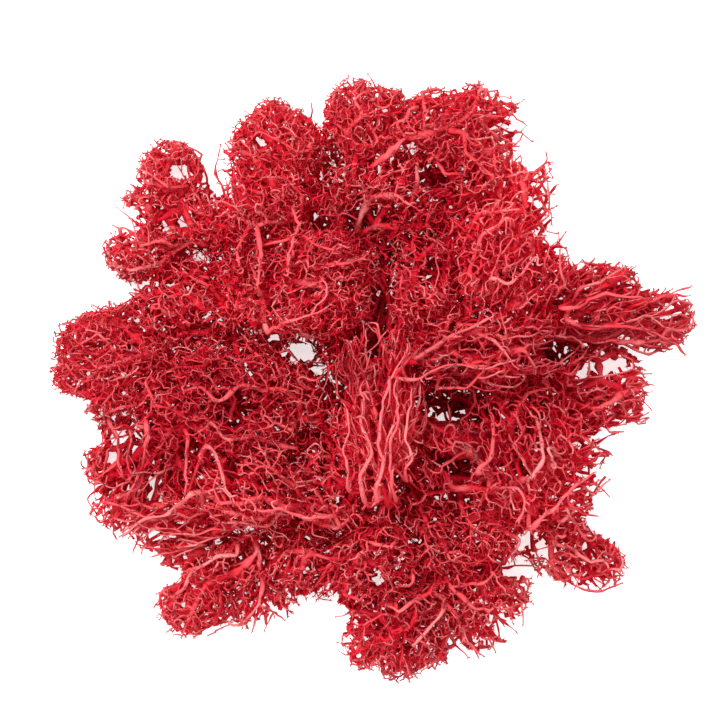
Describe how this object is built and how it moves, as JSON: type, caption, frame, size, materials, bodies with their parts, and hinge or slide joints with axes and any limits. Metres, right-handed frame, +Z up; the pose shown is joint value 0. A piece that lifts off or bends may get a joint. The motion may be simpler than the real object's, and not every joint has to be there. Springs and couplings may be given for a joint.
{
  "type": "reindeer moss clump",
  "caption": "Loose clump of dyed red reindeer moss, a tangled heap of finely branching lichen tufts, used to dress pots, wreaths, dried arrangements and model scenery.",
  "frame": {"origin": "on the surface that the clump rests on, under the middle of its box", "axes": "+Z up, +X along the longer side and +Y along the shorter side of the clump seen from above"},
  "size_m": [0.1292, 0.1218, 0.0407],
  "materials": {
    "lichen": "matt, dyed and dried lichen, coral red on the outer branches and wine red in the depths, with dark brown tips"
  },
  "bodies": {
    "root": {"upper_left_arm": "lichen", "left_shoulder": "lichen", "left_head": "lichen", "left_fringe": "lichen", "lower_left_shoulder": "lichen", "lower_left_lobe": "lichen", "top_left_head": "lichen", "top_middle_head": "lichen", "top_right_spray": "lichen", "right_shoulder": "lichen", "upper_left_dome": "lichen", "middle_left_dome": "lichen", "top_valley": "lichen", "middle_right_crest": "lichen", "right_net": "lichen", "middle_slant": "lichen", "middle_front": "lichen", "left_middle": "lichen", "lower_left_middle": "lichen", "lower_middle": "lichen", "bottom_lobe": "lichen", "lower_right_middle": "lichen", "lower_right_net": "lichen", "lower_right_arm": "lichen", "right_arm": "lichen", "right_hollow": "lichen", "lower_right_side": "lichen", "under_left": "lichen", "under_lower": "lichen", "under_right": "lichen", "under_top": "lichen", "under_middle": "lichen", "under_upper_right": "lichen"}
  },
  "joints": []
}
